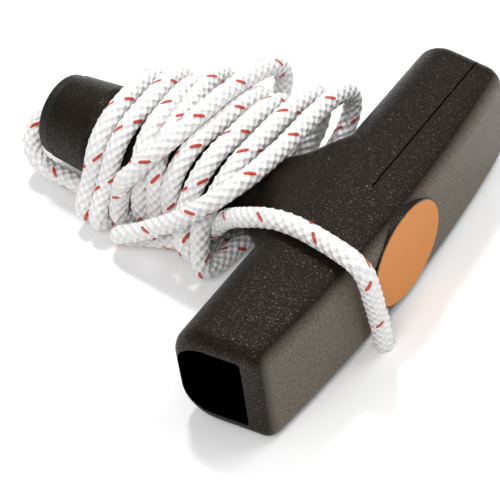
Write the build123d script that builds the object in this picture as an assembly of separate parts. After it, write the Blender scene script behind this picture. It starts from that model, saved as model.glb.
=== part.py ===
from build123d import *
import math
import os

os.makedirs("parts", exist_ok=True)

# Grip bar: plan outline measured from the palm line, which joins the two palm corners.
bar_length = 100.4
bar_depth = 23.0
bar_height = 28.0
palm_bow = 3.4
end_slant = 2.6
back_round = 9.0
palm_round = 4.6
foot_round = 3.6
end_round = 3.4

# Hollow that runs through the bar from end to end.
palm_wall = 5.5
back_wall = 1.4
face_wall = 3.8
hollow_palm_corner = 1.0
hollow_back_corner = back_round - back_wall

# Rope and the clearances round it.
rope_d = 4.5
rope_gap = 0.3
rope_bore_gap = 0.35

# Neck, shoulder and nose, all round one axis at half the bar's height.
axis_z = bar_height / 2
waist_r = axis_z - rope_d - 0.15
waist_start = bar_depth + 11.5
waist_end = 73.0
nose_start = 79.5
nose_r = 11.6
nose_end_r = 10.6
neck_end = 91.0
nose_round = 0.4

# Bores inside the neck.
neck_wall = 2.3
seat_ledge = 1.25
seat_y = 48.0
bore_r = waist_r - neck_wall
tail_bore_r = bore_r - seat_ledge
rope_bore_r = rope_d / 2 + rope_bore_gap

# Rope bush pressed into the nose.
bush_inset = 0.4
bush_flange_r = nose_end_r - bush_inset
bush_flange = 2.6
bush_length = 11.0
bush_gap = 0.05
bush_round = 0.8
lip_round = 1.2
front_y = neck_end + bush_flange

# Sliding cup that holds the knot, and the rubber damper ahead of it.
cup_gap = 0.06
cup_length = 10.0
cup_floor = 3.0
cup_wall = 1.4
cup_pocket_r = bore_r - cup_gap - cup_wall
damper_gap = 0.55
damper_r = bore_r - damper_gap
damper_groove = 1.1
groove_width = 2.4
knot_gap = 0.4
knot_r = cup_pocket_r - knot_gap
knot_length = 9.5
knot_round = 2.2

# Oval badge on the palm side.
badge_margin = 2.0
badge_lift = 0.6
badge_half_x = 13.3
badge_half_z = axis_z - badge_margin
badge_rim = 0.35
badge_round = 0.2
pad_rise = 0.35
pad_root = 3.0
pad_round = 0.3
badge_recess = 0.6
badge_thick = 0.75
badge_gap = 0.05

# Hank of rope round the neck.
hank_start = waist_start + 1.0
hank_end = waist_end + 6.0
hank_middle = 57.0
hank_near = (21.5, 23.0, 18.5)
hank_far = (38.0, 36.5, 22.5)
hank_flat = 0.9
hank_edge = 3.0

# Witness line of the mould on the upper face.
witness_y = 6.4
witness_start = 3.0
witness_width = 0.35
witness_depth = 0.25

pad_front = -(palm_bow + pad_rise)
badge_back = pad_front + badge_recess
palm_front = badge_back - badge_thick
middle_y = (front_y + palm_front) / 2


def save(shape, node):
    """Write one solid with the origin under the middle of the handle."""
    export_step(Pos(0, -middle_y, 0) * shape, f"parts/{node}.step")


def across(y):
    """Plane square to the neck, at a distance from the palm line."""
    return Plane(origin=(0, y, axis_z), x_dir=(1, 0, 0), z_dir=(0, 1, 0))


def turned(profile):
    """Turn a closed outline of (radius, y) points round the neck's axis."""
    outline = make_face(Polyline(*[(r, y, axis_z) for r, y in profile], close=True))
    return revolve(outline, Axis((0, 0, axis_z), (0, 1, 0)), 360)


def rod(radius, start, end):
    """Plain round bar on the neck's axis."""
    return extrude(across(start) * Circle(radius), end - start)


# Grip bar: bowed palm face, slanted ends, and a fuller round along the neck side.
def bar_block():
    half = bar_length / 2
    back = half + end_slant
    palm = ThreePointArc((-half, 0), (0, -palm_bow), (half, 0))
    rest = Polyline((half, 0), (back, bar_depth), (-back, bar_depth), (-half, 0))
    block = extrude(make_face(palm + rest), bar_height)
    block = fillet(block.edges().filter_by(Axis.X), back_round)
    bowed = [edge for edge in block.edges() if edge.center().Y < -palm_bow / 2]
    block = fillet([edge for edge in bowed if edge.center().Z > axis_z], palm_round)
    bowed = [edge for edge in block.edges() if edge.center().Y < -palm_bow / 2]
    block = fillet([edge for edge in bowed if edge.center().Z < 0.01], foot_round)
    ends = block.faces().sort_by(Axis.X)
    return fillet(ends[0].edges() + ends[-1].edges(), end_round)


# Shoulder: rounded sections that shrink from the bar and sink into the round neck.
def shoulder():
    sink = 0.5
    root = 2 * (waist_r - sink)
    sections = [
        (bar_depth - 8.0, 23.0, bar_height - 1.0, 3.5),
        (bar_depth - 2.0, 17.2, bar_height - 2.2, 2.4),
        (bar_depth + 3.0, 7.6, bar_height - 4.6, 0.7),
        (bar_depth + 8.0, 2.0, bar_height - 7.6, 0.2),
        (waist_start + 1.5, sink, root + sink, sink / 2),
    ]
    outlines = []
    for y, wider, tall, flat in sections:
        outlines.append(across(y) * RectangleRounded(tall + wider, tall, tall / 2 - flat))
    return loft(outlines)


# Neck: waist that carries the wound rope, then the thicker nose.
def neck():
    swell = (nose_r - waist_r) / 2
    flow = Spline(
        (waist_r, waist_end, axis_z),
        (waist_r + swell, (waist_end + nose_start) / 2, axis_z),
        (nose_r, nose_start, axis_z),
        tangents=[(0, 1, 0), (0, 1, 0)],
    )
    foot = Polyline((0, bar_depth, axis_z), (waist_r, bar_depth, axis_z), (waist_r, waist_end, axis_z))
    top = Polyline((nose_r, nose_start, axis_z), (nose_end_r, neck_end, axis_z), (0, neck_end, axis_z))
    spine = Line((0, neck_end, axis_z), (0, bar_depth, axis_z))
    outline = make_face(foot + flow + top + spine)
    body = revolve(outline, Axis((0, 0, axis_z), (0, 1, 0)), 360)
    rim = body.edges().filter_by(GeomType.CIRCLE).sort_by(Axis.Y)[-1]
    return fillet(rim, nose_round)


# Hollow: flat towards the palm, rounded towards the neck.
def hollow():
    back = bar_depth - back_wall
    low = face_wall
    high = bar_height - face_wall
    corners = [(palm_wall, low), (back, low), (back, high), (palm_wall, high)]
    shape = make_face(Polyline(*corners, close=True))
    palm_side = shape.vertices().sort_by(Axis.X)[:2]
    shape = fillet(palm_side, hollow_palm_corner)
    back_side = [v for v in shape.vertices() if abs(v.X - back) < 0.01]
    shape = fillet(back_side, hollow_back_corner)
    return extrude(Plane.YZ * shape, bar_length, both=True)


def badge_plane(y):
    """Plane that faces the palm at the badge, at a distance from the palm line."""
    return Plane(origin=(0, y, axis_z + badge_lift), x_dir=(1, 0, 0), z_dir=(0, -1, 0))


def grip_body():
    rim = Ellipse(badge_half_x + badge_rim, badge_half_z + badge_rim)
    pad = extrude(badge_plane(pad_root) * rim, pad_root - pad_front)
    pad = fillet(pad.edges().sort_by(Axis.Y)[0], pad_round)
    recess = extrude(badge_plane(badge_back) * Ellipse(badge_half_x, badge_half_z), 2 * badge_recess)
    witness_length = bar_length - witness_start
    witness = Pos(witness_start + witness_length / 2, witness_y, bar_height)
    groove = witness * Box(witness_length, witness_width, 2 * witness_depth)
    body = bar_block() + shoulder() + neck() + pad
    body -= hollow()
    body -= rod(tail_bore_r, bar_depth - back_wall - 1, seat_y)
    body -= rod(bore_r, seat_y, neck_end)
    body -= recess
    return body - groove


def palm_badge():
    oval = Ellipse(badge_half_x - badge_gap, badge_half_z - badge_gap)
    plate = extrude(badge_plane(badge_back) * oval, badge_thick)
    return fillet(plate.edges().sort_by(Axis.Y)[0], badge_round)


def nose_bush():
    body = rod(bush_flange_r, neck_end, front_y)
    body = fillet(body.edges().sort_by(Axis.Y)[-1], bush_round)
    body += rod(bore_r - bush_gap, neck_end - bush_length, neck_end)
    body -= rod(rope_bore_r, neck_end - bush_length - 1, front_y + 1)
    mouths = body.edges().filter_by(GeomType.CIRCLE)
    lips = [e for e in mouths if abs(e.radius - rope_bore_r) < 0.01]
    return fillet(lips, lip_round)


# Knot cup: slides in the neck bore and pushes the damper when the rope is pulled.
def knot_cup():
    end = seat_y + cup_length
    body = rod(bore_r - cup_gap, seat_y, end)
    body -= rod(cup_pocket_r, seat_y - 1, end - cup_floor)
    body -= rod(rope_bore_r, seat_y - 1, end + 1)
    return body


def damper_sleeve():
    start = seat_y + cup_length
    end = neck_end - bush_length
    body = rod(damper_r, start, end)
    step = (end - start) / 4
    for i in (1, 2, 3):
        low = start + i * step - groove_width / 2
        high = low + groove_width
        body -= rod(damper_r + 1, low, high) - rod(damper_r - damper_groove, low, high)
    return body - rod(rope_bore_r, start - 1, end + 1)


def rope_knot():
    end = seat_y + cup_length - cup_floor
    body = rod(knot_r, end - knot_length, end)
    ends = body.edges().filter_by(GeomType.CIRCLE)
    return fillet(ends, knot_round)


# Rope in the open: straight runs joined by arcs, swept with the rope's section.
def bend_radii(points, tight):
    radii = []
    for i in range(1, len(points) - 1):
        a = Vector(*points[i]) - Vector(*points[i - 1])
        b = Vector(*points[i + 1]) - Vector(*points[i])
        turn = math.radians(a.get_angle(b))
        wide = 0.45 * min(a.length, b.length) / math.tan(turn / 2)
        radii.append(min(wide, tight.get(i, 40.0)))
    return radii


def rope_tube(points, tight, name):
    radii = bend_radii(points, tight)
    path = FilletPolyline(*points, radius=radii)
    tube = sweep(Plane(origin=path @ 0, z_dir=path % 0) * Circle(rope_d / 2), path=path)
    section = math.pi * rope_d**2 / 4
    print(name, "radii", [round(r, 1) for r in radii], "length", round(path.length, 1))
    print(name, "volume over section x length", round(tube.volume / (section * path.length), 3))
    return tube


def rope_core():
    return rod(rope_d / 2, seat_y + cup_length - cup_floor, front_y)


def rope_lead():
    points = [
        (0, front_y, axis_z),
        (0, front_y + 4.0, axis_z),
        (-2.6, front_y + 7.4, 13.4),
        (-9.0, front_y + 8.0, 10.4),
        (-12.8, front_y + 4.6, 5.6),
        (-12.4, front_y - 2.1, 4.6),
        (-12.0, hank_end - 1.5, 3.8),
    ]
    return rope_tube(points, {}, "rope_lead")


def rope_tail():
    side = rope_d / 2 + rope_gap
    over = bar_height + side
    front = -palm_bow - side - 0.3
    points = [
        (-15.0, hank_start + 2.0, 21.0),
        (-20.0, bar_depth + 3.0, over - 0.6),
        (-17.6, bar_depth - 9.0, over + 0.3),
        (-20.2, front, over + 0.2),
        (-16.2, front - 0.2, 12.0),
        (-15.0, front, rope_gap),
    ]
    return rope_tube(points, {3: palm_round + side + 2.5}, "rope_tail")


# Hank: outer shape of the turns, which bulge less towards the nose.
def rope_hank():
    height = axis_z + waist_r + rope_d
    sections = []
    for y, near, far in zip((hank_start, hank_middle, hank_end), hank_near, hank_far):
        plane = Plane(origin=((far - near) / 2, y, height / 2), x_dir=(1, 0, 0), z_dir=(0, 1, 0))
        sections.append(plane * RectangleRounded(near + far, height, height / 2 - hank_flat))
    block = loft(sections)
    rims = block.faces().sort_by(Axis.Y)
    block = fillet(rims[0].edges() + rims[-1].edges(), hank_edge)
    clear = turned([
        (0, hank_start - 1),
        (waist_r + rope_gap, hank_start - 1),
        (waist_r + rope_gap, waist_end - 1),
        (nose_r + rope_gap, nose_start - 1.5),
        (nose_r + rope_gap, hank_end + 1),
        (0, hank_end + 1),
    ])
    return block - clear


save(grip_body(), "grip_body")
save(palm_badge(), "palm_badge")
save(nose_bush(), "nose_bush")
save(knot_cup(), "knot_cup")
save(damper_sleeve(), "damper_sleeve")
save(rope_knot(), "rope_knot")
save(rope_core(), "rope_core")
save(rope_lead(), "rope_lead")
save(rope_hank(), "rope_hank")
save(rope_tail(), "rope_tail")
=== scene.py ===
import math

import bmesh
import bpy
import numpy as np
from mathutils import Matrix, Vector


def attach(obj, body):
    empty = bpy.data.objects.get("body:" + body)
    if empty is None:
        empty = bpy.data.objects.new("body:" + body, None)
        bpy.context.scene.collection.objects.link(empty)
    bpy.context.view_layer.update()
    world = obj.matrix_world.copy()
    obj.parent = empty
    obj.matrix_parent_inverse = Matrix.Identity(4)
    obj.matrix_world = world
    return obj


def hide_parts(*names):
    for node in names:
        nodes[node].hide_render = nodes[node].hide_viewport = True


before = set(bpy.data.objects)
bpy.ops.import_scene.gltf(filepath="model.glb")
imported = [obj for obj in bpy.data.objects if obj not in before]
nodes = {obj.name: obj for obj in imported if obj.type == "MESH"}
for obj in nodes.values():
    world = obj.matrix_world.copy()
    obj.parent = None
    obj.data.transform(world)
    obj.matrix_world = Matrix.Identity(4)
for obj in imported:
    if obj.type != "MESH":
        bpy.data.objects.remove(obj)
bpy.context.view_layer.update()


# Camera: a long lens about 0.45 m off, that looks down on the near end of the bar
# and the palm side, and is tipped a little sideways. Its place is measured from
# the line of the palm's corners, as the rope's route is.
def placed(name, data):
    """New object in the scene."""
    made = bpy.data.objects.new(name, data)
    bpy.context.scene.collection.objects.link(made)
    return made


def aim(azimuth, elevation, roll):
    """A camera's right, up and back directions, from its angles in degrees."""
    a, e, t = math.radians(azimuth), math.radians(elevation), math.radians(roll)
    back = Vector((math.sin(a) * math.cos(e), -math.cos(a) * math.cos(e), math.sin(e)))
    level = Vector((math.cos(a), math.sin(a), 0))
    rise = back.cross(level)
    right = level * math.cos(t) + rise * math.sin(t)
    up = rise * math.cos(t) - level * math.sin(t)
    return right, up, back


palm_line = -0.04485
right, up, back = aim(azimuth=-49.5, elevation=46.65, roll=-8.6)
camera = placed("camera", bpy.data.cameras.new("camera"))
camera.data.sensor_width = 36
camera.data.lens = 135.5
camera.data.clip_start = 0.01
camera.data.clip_end = 20
camera.location = (-0.2356, palm_line - 0.1599, 0.3204)
camera.rotation_mode = "QUATERNION"
turned = Matrix([[right[i], up[i], back[i]] for i in range(3)])
camera.rotation_quaternion = turned.to_quaternion()
bpy.context.scene.camera = camera


# Rope: 4.5 mm white polyester braid, wound loosely nine times round the neck. It
# leaves the nose, doubles back under it, and its spare end comes out from under
# the turns, doubles back along them and hangs over the bar to the table.
rope_d = 4.5
axis_z = 14.0

# Its route, in millimetres from the palm's line and from the table.
lead = [
    (0, 93.6, 14), (0, 96.2, 14), (-2.4, 98.4, 13.6), (-6.4, 98.8, 11.4),
    (-10.0, 97.4, 8.0), (-10.8, 92.8, 5.0), (-10.45, 87.3, 4.4), (-11.3, 79.5, 4.0),
]
doubling = [
    (-4.5, 32.2, 26.3), (-10.6, 33.4, 27.2), (-15.2, 36.6, 25.0), (-18.4, 41.5, 20.6),
    (-19.2, 48.6, 14.6), (-19.8, 56.2, 9.4), (-21.0, 62.0, 6.8), (-22.2, 66.6, 4.6),
    (-20.4, 67.2, 2.4), (-17.2, 63.4, 2.3), (-15.0, 57.5, 2.5), (-14.0, 51, 4.4),
    (-13.0, 45.4, 7.0),
]
tail = [
    (-12.6, 41, 10.5), (-12.2, 37.5, 15.5), (-13.6, 33.6, 19.8), (-15.8, 28.5, 24.4),
    (-16.6, 22, 28.6), (-17.0, 14, 30.8), (-18.0, 5, 30.8), (-20.2, -5.95, 30.6),
    (-18.4, -6.2, 20), (-16.2, -6.1, 10), (-15.0, -5.95, 0.3),
]
# One turn each, from the nose to the bar. Places along the neck: over its top, at
# the far bulge, on the near flank and at the near foot. Then how far the bulge and
# the foot stand out, and how high the turn rides at its top and on its flank. The
# last turn has no foot, because it goes on as the doubling.
turns = [
    (73.2, 75.6, 75.2, 75.6, 18.5, -23.5, 0.4, 0.6),
    (67.8, 70.5, 71.0, 70.4, 23.0, -24.4, 0.2, 0.6),
    (62.8, 65.0, 60.8, 62.0, 22.0, -16.0, 0.0, 0.0),
    (58.0, 62.0, 56.4, 57.6, 28.4, -15.5, 0.0, 0.0),
    (52.0, 51.5, 66.8, 68.0, 37.6, -20.0, 4.5, 0.6),
    (50.2, 49.0, 54.8, 54.2, 26.5, -15.5, 0.0, 0.0),
    (43.8, 43.4, 49.0, 44.5, 26.5, -20.5, 0.0, 2.2),
    (38.0, 37.6, 41.6, 39.3, 33.0, -24.6, 0.0, 3.4),
    (31.6, 31.8, 0.0, 0.0, 37.6, 0.0, 0.0, 0.0),
]


def wound():
    """Guide points of the turns, sixteen a turn, hugging the neck on the near side."""
    on_neck = 11.75
    past_top, round_step = 115, 24.5
    guide = []
    came_from, foot_before = lead[-1][1], lead[-1][0]
    for over, far, flank, foot_y, reach, foot, lift, ride in turns:
        def across(t):
            return came_from + (far - came_from) * t ** 1.5

        # Under the neck on the table, up and round the far side, and over the top.
        under = [(foot_before * 0.6, across(0.15), 2.5), (0, across(0.4), 2.35)]
        bulge = [
            (reach * 0.42, across(0.65), 2.4), (reach * 0.68, across(0.85), 4.8),
            (reach * 0.87, far, 9.6), (reach * 0.98, far, 15.4), (reach * 0.97, far, 21.0),
            (reach * 0.78, far * 0.85 + over * 0.15, 24.8),
        ]
        crown = [
            (reach * 0.44, far * 0.5 + over * 0.5, 26.2 + lift * 0.3),
            (reach * 0.05, over, 25.8 + lift),
        ]
        guide += under + bulge + crown
        # Down the near side, close to the neck, and out to the foot on the table.
        if foot:
            for k in range(4):
                angle = math.radians(past_top + round_step * k)
                radius = on_neck + lift * (1 - k / 3) + ride * k / 3
                y = over + (flank - over) * (0.12 + 0.3 * k)
                guide.append((radius * math.cos(angle), y, axis_z + radius * math.sin(angle)))
            guide.append(((guide[-1][0] + foot) / 2 - 0.5, (flank + foot_y) / 2, 6.5))
            guide.append((foot, foot_y, 3.2))
            came_from, foot_before = foot_y, foot
    return guide


def rounded(guide):
    """Close points on the smooth curve that a guide's points pull towards them."""
    g = np.array(guide, float)
    fine = []
    for i in range(len(g) - 2):
        first = g[0] if i == 0 else (g[i] + g[i + 1]) / 2
        last = g[-1] if i == len(g) - 3 else (g[i + 1] + g[i + 2]) / 2
        for t in np.linspace(0, 1, 12, endpoint=False):
            fine.append((1 - t) ** 2 * first + 2 * t * (1 - t) * g[i + 1] + t * t * last)
    return np.array(fine + [g[-1]])


def evenly(line, step):
    """Points about a step apart along a line, and the line's length."""
    run = np.concatenate([[0], np.cumsum(np.linalg.norm(np.diff(line, axis=0), axis=1))])
    at = np.linspace(0, run[-1], int(round(run[-1] / step)) + 1)
    return np.stack([np.interp(at, run, line[:, k]) for k in range(3)], 1), run[-1]


# Places along the neck and its radius there, from the shoulder to the nose's end.
neck_y = [25, 28, 31, 34.5, 73, 76.2, 79.5, 91]
neck_r = [15.5, 12.5, 10.6, 9.4, 9.4, 10.5, 11.6, 10.6]
bar_back = 24.6


def settle(line, held):
    """Push touching turns a rope's width apart and keep them off the neck and table."""
    clear = rope_d + 0.05
    rounds, neighbours = 160, 3
    shove, homing, evening, longest_move = 0.35, 0.03, 0.25, 0.8
    neck_gap, lowest = 0.1, rope_d / 2 + 0.02
    neck_starts, neck_ends = 22, 93
    tiny = 1e-9
    home = line.copy()
    count = np.arange(len(line))
    not_next = np.abs(count[:, None] - count[None]) > neighbours
    for _ in range(rounds):
        gap = line[:, None] - line[None]
        far = np.linalg.norm(gap, axis=2) + tiny
        push = np.where((far < clear) & not_next, (clear - far) / far * shove, 0)
        move = (gap * push[..., None]).sum(1) + (home - line) * homing
        move[1:-1] += ((line[:-2] + line[2:]) / 2 - line[1:-1]) * evening
        move[held] = 0
        line = line + np.clip(move, -longest_move, longest_move)
        reach = np.hypot(line[:, 0], line[:, 2] - axis_z) + tiny
        need = np.interp(line[:, 1], neck_y, neck_r) + rope_d / 2 + neck_gap
        beside = (line[:, 1] > neck_starts) & (line[:, 1] < neck_ends) & (reach < need) & ~held
        out = np.where(beside, need / reach, 1)
        line[:, 0] *= out
        line[:, 2] = axis_z + (line[:, 2] - axis_z) * out
        line[:, 2] = np.where(held, line[:, 2], np.maximum(line[:, 2], lowest))
        line[:, 1] = np.where(held, line[:, 1], np.maximum(line[:, 1], bar_back))
    return line


coil_step = 2.4
coil = evenly(rounded(lead[-2:] + wound() + doubling + tail[:2]), coil_step)[0]
# Its first and last three points join the lead and the tail, and stay where they are.
held = np.zeros(len(coil), bool)
held[:3] = True
held[-3:] = True
coil = settle(coil, held)


def metres(points):
    """Millimetre points from the palm's line, as places in the frame."""
    return [(x / 1000, y / 1000 + palm_line, z / 1000) for x, y, z in points]


def spline_line(name, points):
    """Points read back from one smooth spline that is drawn along the route."""
    curve = bpy.data.curves.new(name, "CURVE")
    curve.dimensions = "3D"
    curve.resolution_u = 6
    spline = curve.splines.new("NURBS")
    spline.points.add(len(points) - 1)
    for place, (x, y, z) in zip(spline.points, points):
        place.co = (x, y, z, 1)
    spline.order_u = 3
    spline.use_endpoint_u = True
    holder = placed(name, curve)
    bpy.context.view_layer.update()
    drawn = bpy.data.meshes.new_from_object(holder)
    line = np.array([v.co for v in drawn.vertices])
    bpy.data.objects.remove(holder)
    bpy.data.meshes.remove(drawn)
    return line


rope_step = 0.000625
rope_points = metres(lead[:-1]) + metres(coil[2:-2]) + metres(tail[1:])
rope_line, rope_length = evenly(spline_line("rope_line", rope_points), rope_step)


def sideways(line):
    """Two side directions at each point of a line, carried along without twist."""
    ahead = np.gradient(line, axis=0)
    ahead /= np.linalg.norm(ahead, axis=1)[:, None]
    off_line = (0.3, 0.2, 0.9)
    side = np.cross(ahead[0], off_line)
    sides = []
    for direction in ahead:
        side = side - direction * (side @ direction)
        side = side / np.linalg.norm(side)
        sides.append(side)
    sides = np.array(sides)
    return sides, np.cross(ahead, sides)


# In metres: the rope's radius, its cells round it, and how far they stand up.
rope_r = rope_d / 2000
picks_round = 12
pick_rise = 0.00009


def braided(name, line):
    """Tube with the raised cells of a braid, two mesh steps to a cell each way."""
    rope_round = 2 * picks_round
    across, over = sideways(line)
    mesh = bmesh.new()
    grid = mesh.loops.layers.uv.new("braid")
    rows = []
    for i, middle in enumerate(line):
        row = []
        for j in range(rope_round):
            angle = 2 * math.pi * j / rope_round
            rise = math.cos(math.pi * (i + j) / 2) + math.cos(math.pi * (i - j) / 2)
            radius = rope_r + pick_rise * rise
            spot = middle + radius * (math.cos(angle) * across[i] + math.sin(angle) * over[i])
            row.append(mesh.verts.new(spot))
        rows.append(row)
    for i in range(len(rows) - 1):
        for j in range(rope_round):
            k = (j + 1) % rope_round
            face = mesh.faces.new((rows[i][j], rows[i][k], rows[i + 1][k], rows[i + 1][j]))
            face.smooth = True
            corners = ((i, j), (i, j + 1), (i + 1, j + 1), (i + 1, j))
            for loop, (u, v) in zip(face.loops, corners):
                loop[grid].uv = (u / 2, v / rope_round)
    mesh.faces.new(list(reversed(rows[0])))
    mesh.faces.new(rows[-1])
    data = bpy.data.meshes.new(name)
    bmesh.ops.recalc_face_normals(mesh, faces=mesh.faces)
    mesh.to_mesh(data)
    mesh.free()
    return placed(name, data)


rope = braided("rope", rope_line)

# Frayed end: the rope is cut off with a hot blade, and the cut has opened into nine
# loose yarns in a ring, which spread a little where they meet the table.
yarn_turn = 2.4
yarn_ring = 0.0012
yarn_top = 0.0016
yarn_drop = 0.0015
yarns = bmesh.new()
for k in range(9):
    angle = yarn_turn * k
    lean = 0.0001 + 0.00008 * k
    outward = Vector((math.cos(angle), math.sin(angle), 0))
    start = Vector(rope_line[-1]) + outward * yarn_ring + Vector((0, 0, yarn_top))
    end = start + outward * lean - Vector((0, 0, yarn_drop))
    for t in range(3):
        here = start.lerp(end, t / 3)
        there = start.lerp(end, (t + 1) / 3)
        turn = (there - here).to_track_quat("Z", "Y").to_matrix().to_4x4()
        turn.translation = (here + there) / 2
        bmesh.ops.create_cone(
            yarns, cap_ends=True, segments=6, radius1=0.00042, radius2=0.00038,
            depth=(there - here).length * 1.1, matrix=turn,
        )
yarns_data = bpy.data.meshes.new("frayed_tip")
yarns.to_mesh(yarns_data)
yarns.free()
frayed_tip = placed("frayed_tip", yarns_data)


def shader(name):
    """New material, its node tree and its surface shader."""
    material = bpy.data.materials.new(name)
    material.use_nodes = True
    tree = material.node_tree
    return material, tree, tree.nodes["Principled BSDF"]


def maths(tree, operation, first, second=0.0, third=0.0):
    """One math node; each value is a number or another node's output."""
    node = tree.nodes.new("ShaderNodeMath")
    node.operation = operation
    for socket, value in zip(node.inputs, (first, second, third)):
        if isinstance(value, (int, float)):
            socket.default_value = value
        else:
            tree.links.new(value, socket)
    return node.outputs[0]


def parts_of(tree, vector):
    """The three numbers of a place or a direction."""
    node = tree.nodes.new("ShaderNodeSeparateXYZ")
    tree.links.new(vector, node.inputs[0])
    return node.outputs


def blended(tree, amount, low, high):
    """Colour between two colours by an amount from another node."""
    node = tree.nodes.new("ShaderNodeMix")
    node.data_type = "RGBA"
    tree.links.new(amount, node.inputs["Factor"])
    first_colour, second_colour = node.inputs[6], node.inputs[7]
    for socket, value in ((first_colour, low), (second_colour, high)):
        if isinstance(value, tuple):
            socket.default_value = (*value, 1)
        else:
            tree.links.new(value, socket)
    return node.outputs[2]


def bumped(tree, surface, height, distance):
    """Fine relief on a surface: how deep one unit of a height value goes, in metres."""
    node = tree.nodes.new("ShaderNodeBump")
    node.inputs["Distance"].default_value = distance
    tree.links.new(height, node.inputs["Height"])
    tree.links.new(node.outputs[0], surface.inputs["Normal"])


# Braid: each raised cell is one pick of three white yarns. One tracer yarn of red
# polyester runs round with the others, and shows as a fleck where it comes on top.
yarns_in_pick = 3
tracer_every = 6.0
fleck_every = 3.0
fleck_wide = 0.25
fleck_long = 0.85
fleck_round = 3.0
tracer_red = (0.55, 0.05, 0.018)
# Painted shade: the grooves between the picks are painted a duller white.
groove_shade_white = (0.79, 0.78, 0.77)
white_high = (0.985, 0.975, 0.965)

braid, tree, surface = shader("rope_braid")
place = tree.nodes.new("ShaderNodeUVMap")
place.uv_map = "braid"
braid_place = parts_of(tree, place.outputs[0])
along = braid_place[0]
round_it = maths(tree, "MULTIPLY", braid_place[1], float(picks_round))
one_way = maths(tree, "MULTIPLY", maths(tree, "ADD", along, round_it), 0.5)
other_way = maths(tree, "MULTIPLY", maths(tree, "SUBTRACT", along, round_it), 0.5)
ridge_one = maths(tree, "COSINE", maths(tree, "MULTIPLY", one_way, 2 * math.pi))
ridge_two = maths(tree, "COSINE", maths(tree, "MULTIPLY", other_way, 2 * math.pi))
cell = maths(tree, "MULTIPLY_ADD", maths(tree, "ADD", ridge_one, ridge_two), 0.25, 0.5)
grooves = maths(tree, "COSINE", maths(tree, "MULTIPLY", one_way, 2 * math.pi * yarns_in_pick))
height = maths(tree, "MULTIPLY_ADD", grooves, 0.06, cell)
strand = maths(tree, "FLOORED_MODULO", maths(tree, "ADD", other_way, 0.5), tracer_every)
off_strand = maths(tree, "ABSOLUTE", maths(tree, "SUBTRACT", strand, 0.5))
dash = maths(tree, "FLOORED_MODULO", one_way, fleck_every)
off_dash = maths(tree, "ABSOLUTE", maths(tree, "SUBTRACT", dash, 1.0))
wide = maths(tree, "POWER", maths(tree, "DIVIDE", off_strand, fleck_wide), fleck_round)
long = maths(tree, "POWER", maths(tree, "DIVIDE", off_dash, fleck_long), fleck_round)
fleck = maths(tree, "LESS_THAN", maths(tree, "ADD", wide, long), 1.0)
# Painted shade: the white is duller down in the grooves between the picks.
white = blended(tree, cell, groove_shade_white, white_high)
tree.links.new(blended(tree, fleck, white, tracer_red), surface.inputs["Base Color"])
surface.inputs["Roughness"].default_value = 0.36
surface.inputs["Subsurface Weight"].default_value = 0.15
surface.inputs["Subsurface Radius"].default_value = (0.001, 0.0009, 0.0008)
surface.inputs["Subsurface Scale"].default_value = 0.5
surface.inputs["Sheen Weight"].default_value = 0.15
bumped(tree, surface, height, 0.0005)


def plain(name, colour, roughness, specular=0.5):
    """Material of one colour all through, with no texture of its own."""
    material, tree, surface = shader(name)
    surface.inputs["Base Color"].default_value = (*colour, 1)
    surface.inputs["Roughness"].default_value = roughness
    surface.inputs["Specular IOR Level"].default_value = specular
    return material


def wear(node, material):
    """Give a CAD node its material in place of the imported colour."""
    mesh = nodes[node].data
    mesh.materials.clear()
    mesh.materials.append(material)


plain_rope = plain("rope_plain", (0.9, 0.89, 0.87), 0.7)
rope.data.materials.append(braid)
frayed_tip.data.materials.append(plain_rope)
for piece in (rope, frayed_tip):
    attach(piece, "handle")
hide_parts("rope_lead", "rope_hank", "rope_tail")
for node in ("rope_knot", "rope_core"):
    wear(node, plain_rope)


# Grip: one moulding in black plastic with a fine spark-eroded texture, whose
# grains glint. Faces turned to the palm side are painted a lighter grey between
# the grain's pits: a painted reflection of the bright room on that side.
# The hollow's walls are painted near black and shineless, as painted shade, and the
# mould's witness line on top is near black and shineless.
plastic_black = (0.0075, 0.0052, 0.0036)
# Painted reflection: the lighter grey painted on faces turned to the palm side.
palm_sheen_grey = (0.162, 0.138, 0.11)
# Painted shade for the hollow's walls, and the witness line's own near black.
hollow_shade_and_witness_black = (0.0008, 0.0006, 0.0005)
bar_middle_y = -0.031
bar_middle_z = 0.014
hollow_ends = -0.019
witness_y = palm_line + 0.0064
witness_half = 0.0002
witness_starts = 0.003
witness_above = 0.0272


def noise(tree, where, scale, detail=2):
    """Cloudy values on a piece's own places."""
    node = tree.nodes.new("ShaderNodeTexNoise")
    node.inputs["Scale"].default_value = scale
    node.inputs["Detail"].default_value = detail
    tree.links.new(where, node.inputs["Vector"])
    return node.outputs[0]


def carried(tree, value, start, stop, to_start=0.0, to_stop=1.0):
    """A value carried from one range to another and held at its ends."""
    node = tree.nodes.new("ShaderNodeMapRange")
    node.inputs["From Min"].default_value = start
    node.inputs["From Max"].default_value = stop
    node.inputs["To Min"].default_value = to_start
    node.inputs["To Max"].default_value = to_stop
    tree.links.new(value, node.inputs["Value"])
    return node.outputs[0]


grip_plastic, tree, surface = shader("grip_plastic")
where = tree.nodes.new("ShaderNodeTexCoord").outputs["Object"]
x, y, z = parts_of(tree, where)
facing = parts_of(tree, tree.nodes.new("ShaderNodeNewGeometry").outputs["Normal"])
pits = tree.nodes.new("ShaderNodeTexVoronoi")
pits.inputs["Scale"].default_value = 1900
tree.links.new(where, pits.inputs["Vector"])
grain = carried(tree, pits.outputs["Distance"], 0.42, 0.22)
# Painted reflection: the more a face turns to the palm side, the lighter grey it is painted,
# with the pits left darker.
palm = carried(tree, facing[1], -0.6, -0.98, to_stop=0.8)
palm_sheen_between_pits = maths(tree, "MULTIPLY", palm, maths(tree, "MULTIPLY_ADD", grain, -0.95, 1.1))
glint = maths(tree, "MULTIPLY", grain, maths(tree, "SUBTRACT", 1.0, palm))

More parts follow.
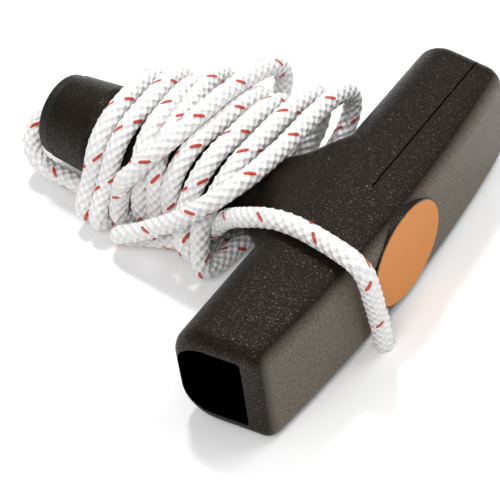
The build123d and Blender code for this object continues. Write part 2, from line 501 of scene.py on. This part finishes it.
# Walls that face the bar's middle line are those of its hollow.
from_middle_y = maths(tree, "SUBTRACT", y, bar_middle_y)
from_middle_z = maths(tree, "SUBTRACT", z, bar_middle_z)
outward = maths(tree, "MULTIPLY", from_middle_y, facing[1])
outward = maths(tree, "MULTIPLY_ADD", from_middle_z, facing[2], outward)
turned_in = maths(tree, "LESS_THAN", outward, -0.001)
hollow = maths(tree, "MULTIPLY", turned_in, maths(tree, "LESS_THAN", y, hollow_ends))
witness = maths(tree, "ABSOLUTE", maths(tree, "SUBTRACT", y, witness_y))
witness = maths(tree, "LESS_THAN", witness, witness_half)
witness = maths(tree, "MULTIPLY", witness, maths(tree, "GREATER_THAN", x, witness_starts))
witness = maths(tree, "MULTIPLY", witness, maths(tree, "GREATER_THAN", z, witness_above))
# Painted shade: the hollow's walls lose their shine and are painted near black. The witness
# line is the mould's own dark line.
hollow_shade_and_witness = maths(tree, "MAXIMUM", hollow, witness)

shine = maths(tree, "MULTIPLY_ADD", glint, 0.27, 0.12)
shine = maths(tree, "MULTIPLY", shine, maths(tree, "SUBTRACT", 1.0, hollow_shade_and_witness))
# The palm side's painted reflection goes into the colour here.
shade = blended(tree, palm_sheen_between_pits, plastic_black, palm_sheen_grey)
# Painted shade in the hollow, and the witness line's own near black.
shade = blended(tree, hollow_shade_and_witness, shade, hollow_shade_and_witness_black)
tree.links.new(shade, surface.inputs["Base Color"])
tree.links.new(shine, surface.inputs["Specular IOR Level"])
tree.links.new(maths(tree, "MULTIPLY_ADD", glint, -0.19, 0.42), surface.inputs["Roughness"])
surface.inputs["Specular Tint"].default_value = (1, 0.86, 0.73, 1)
fine_noise = noise(tree, where, 3000, detail=1)
texture = maths(tree, "MULTIPLY_ADD", noise(tree, where, 2100), 0.5, fine_noise)
bumped(tree, surface, texture, 0.00013)
wear("grip_body", grip_plastic)


# Badge: a thin oval plate of orange plastic, satin and smooth, that is pressed
# into its rimmed recess in the middle of the palm face.
badge_orange = plain("badge_orange", (0.64, 0.215, 0.017), 0.4, specular=0.3)
wear("palm_badge", badge_orange)


# Nose bush: a ring moulded in a smoother black plastic than the grip's, pressed
# into the end of the nose. The rope leaves through it.
bush_plastic = plain("bush_plastic", (0.008, 0.007, 0.006), 0.42, specular=0.3)
wear("nose_bush", bush_plastic)


# Inside the neck: a moulded nylon cup that holds the rope's knot, and ahead of it a
# sleeve of black rubber, which the cup squeezes to soften the pull.
wear("knot_cup", plain("cup_plastic", (0.7, 0.69, 0.64), 0.45))
wear("damper_sleeve", plain("damper_rubber", (0.03, 0.03, 0.03), 0.75))


# Table: seamless white paper that fades into a white studio. The glow that whitens it
# is seen and mirrored but lights nothing, and is weak near the grip, which paints the
# paper darker round the grip: painted shade that deepens its shadow.
floor_mesh = bmesh.new()
bmesh.ops.create_grid(floor_mesh, x_segments=1, y_segments=1, size=4)
floor_data = bpy.data.meshes.new("floor")
floor_mesh.to_mesh(floor_data)
floor_mesh.free()
floor = placed("floor", floor_data)
paper, tree, surface = shader("paper")
surface.inputs["Base Color"].default_value = (0.86, 0.86, 0.86, 1)
surface.inputs["Roughness"].default_value = 0.9
surface.inputs["Emission Color"].default_value = (1, 1, 1, 1)
distance = tree.nodes.new("ShaderNodeVectorMath")
distance.operation = "LENGTH"
tree.links.new(tree.nodes.new("ShaderNodeTexCoord").outputs["Object"], distance.inputs[0])
# Painted shade: the glow is weakest within 0.06 m of the middle under the grip, and full
# beyond 0.13 m.
glow = carried(tree, distance.outputs["Value"], 0.06, 0.13, 0.1, 0.6)
rays = tree.nodes.new("ShaderNodeLightPath").outputs
seen = maths(tree, "MAXIMUM", rays["Is Camera Ray"], rays["Is Glossy Ray"])
seen = maths(tree, "MAXIMUM", seen, rays["Is Transmission Ray"])
tree.links.new(maths(tree, "MULTIPLY", seen, glow), surface.inputs["Emission Strength"])
floor_data.materials.append(paper)


# Studio: white walls all round, brighter at table height than overhead, so that the
# grip's upright faces are lit a little more than its top. The camera sees pure white.
world = bpy.data.worlds.new("studio")
bpy.context.scene.world = world
world.use_nodes = True
tree = world.node_tree
walls = tree.nodes["Background"]
walls.inputs["Color"].default_value = (1, 1, 1, 1)
sky = tree.nodes.new("ShaderNodeTexCoord").outputs["Generated"]
soft = carried(tree, parts_of(tree, sky)[2], 0.05, 0.6, 0.85, 0.45)
rays = tree.nodes.new("ShaderNodeLightPath").outputs
tree.links.new(maths(tree, "MAXIMUM", soft, rays["Is Camera Ray"]), walls.inputs["Strength"])


# Lamps: soft boxes to the right and off the near end, and a small one overhead,
# whose reflection breaks up on the texture along the near edges of the bar.
lamps_face = Vector((0, 0, 0.01))


def soft_box(name, place, size, power):
    """Square lamp that faces the middle of the object."""
    lamp = bpy.data.lights.new(name, "AREA")
    lamp.size = size
    lamp.energy = power
    holder = placed(name, lamp)
    holder.location = place
    holder.rotation_mode = "QUATERNION"
    holder.rotation_quaternion = (Vector(place) - lamps_face).to_track_quat("Z", "Y")


soft_box("key", (0.35, -0.25, 0.75), 0.3, 2.1)
soft_box("near", (-0.36, -0.14, 0.52), 0.22, 1.25)
soft_box("spot", (0.21, 0.19, 0.63), 0.07, 1.9)

bpy.context.scene.view_settings.view_transform = "Standard"
